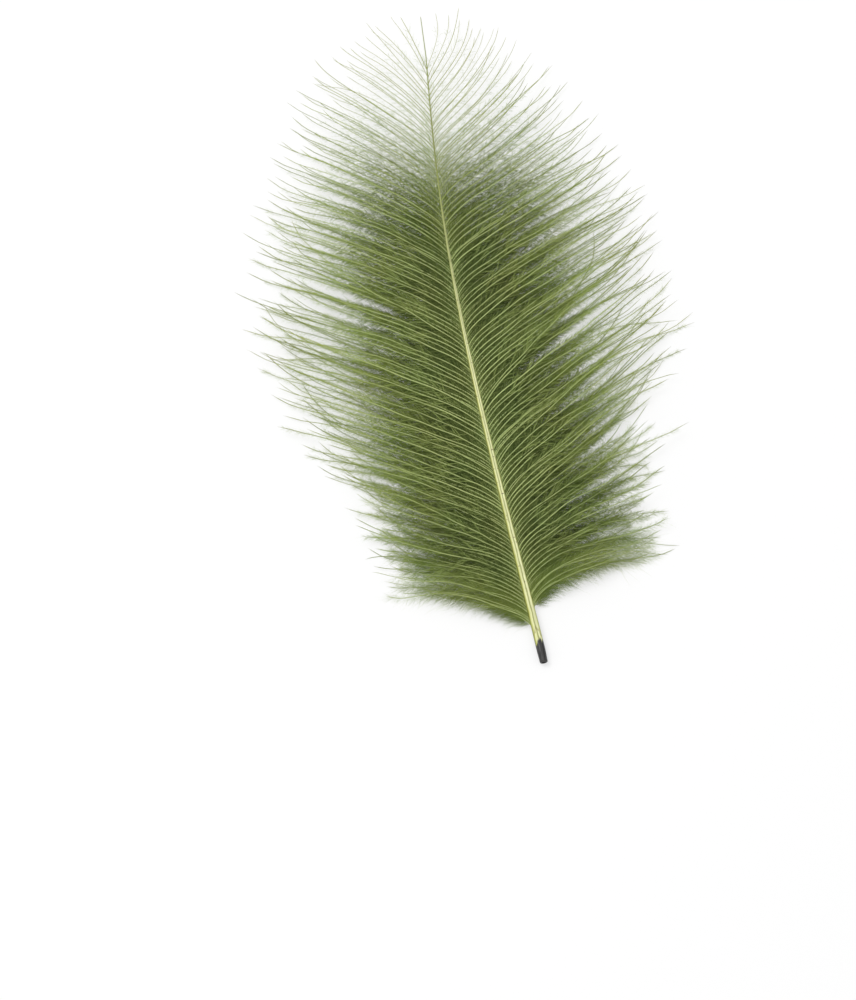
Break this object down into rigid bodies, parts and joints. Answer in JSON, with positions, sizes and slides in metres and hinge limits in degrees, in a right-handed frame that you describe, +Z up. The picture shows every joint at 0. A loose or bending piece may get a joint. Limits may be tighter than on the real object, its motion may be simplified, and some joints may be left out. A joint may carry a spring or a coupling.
{
  "type": "cul de canard feather",
  "caption": "Soft duck feather, lying down: a slim bowed shaft with a dark hollow quill end and loose olive-green barbs fanning out from both sides, as used for tying fishing flies.",
  "frame": {"origin": "on the surface that the feather lies on, under the middle of its box", "axes": "+Y from the quill butt to the tip, +X to the right of the shaft seen from above, +Z up"},
  "size_m": [0.0402, 0.0616, 0.0044],
  "materials": {
    "shaft": "pale straw-green keratin with a soft gloss and lengthwise streaks, charcoal at the quill end",
    "barbs": "dyed olive-green down, soft and slightly translucent, paler at the roots and tips"
  },
  "bodies": {
    "root": {"shaft": "shaft", "vane_left": "barbs", "vane_right": "barbs"}
  },
  "joints": []
}
